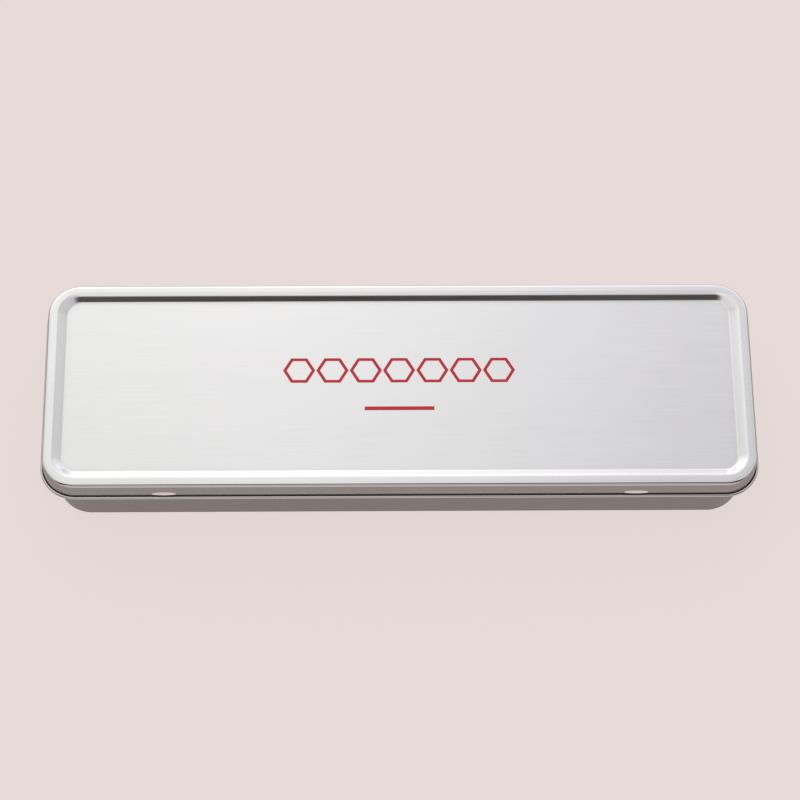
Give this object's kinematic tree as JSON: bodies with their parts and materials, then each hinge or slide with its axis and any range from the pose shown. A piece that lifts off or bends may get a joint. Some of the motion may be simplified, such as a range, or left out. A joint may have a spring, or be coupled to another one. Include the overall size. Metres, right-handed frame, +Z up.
{
  "type": "hinged pencil tin",
  "caption": "Long flat hinged tin with a sunk lid panel, rolled hem and front catches, holding hexagonal graphite pencils in moulded trays.",
  "frame": {"origin": "on the table under the middle of the closed tin", "axes": "+X along the tin to the right as seen from the front, +Y towards the hinges, +Z up through the lid"},
  "size_m": [0.19, 0.0628, 0.0225],
  "materials": {
    "lid_tinplate": "satin rolled tinplate",
    "base_tinplate": "satin rolled tinplate",
    "hinge_steel": "satin",
    "pin_wire": "drawn wire",
    "tray_plastic": "vacuum-formed, fine satin",
    "pencil_lacquer": "glossy graphite-grey lacquer over cedar",
    "graphite": "soft metallic grey"
  },
  "bodies": {
    "base": {"base": "base_tinplate", "hinge_leaf_left": "hinge_steel", "hinge_leaf_right": "hinge_steel", "lower_tray": "tray_plastic", "upper_tray": "tray_plastic", "pencil_1_case": "pencil_lacquer", "pencil_2_case": "pencil_lacquer", "pencil_3_case": "pencil_lacquer", "pencil_4_case": "pencil_lacquer", "pencil_5_case": "pencil_lacquer", "pencil_6_case": "pencil_lacquer", "pencil_7_case": "pencil_lacquer", "pencil_8_case": "pencil_lacquer", "pencil_9_case": "pencil_lacquer", "pencil_10_case": "pencil_lacquer", "pencil_11_case": "pencil_lacquer", "pencil_12_case": "pencil_lacquer", "pencil_1_core": "graphite", "pencil_2_core": "graphite", "pencil_3_core": "graphite", "pencil_4_core": "graphite", "pencil_5_core": "graphite", "pencil_6_core": "graphite", "pencil_7_core": "graphite", "pencil_8_core": "graphite", "pencil_9_core": "graphite", "pencil_10_core": "graphite", "pencil_11_core": "graphite", "pencil_12_core": "graphite"},
    "lid": {"lid": "lid_tinplate", "hinge_pin_left": "pin_wire", "hinge_pin_right": "pin_wire"}
  },
  "joints": [
    {"name": "lid_hinge", "type": "hinge", "parent": "base", "child": "lid", "pos_m": [0, 0.0309, 0.0164], "axis": [-1, 0, 0], "range_deg": [0, 180]}
  ]
}
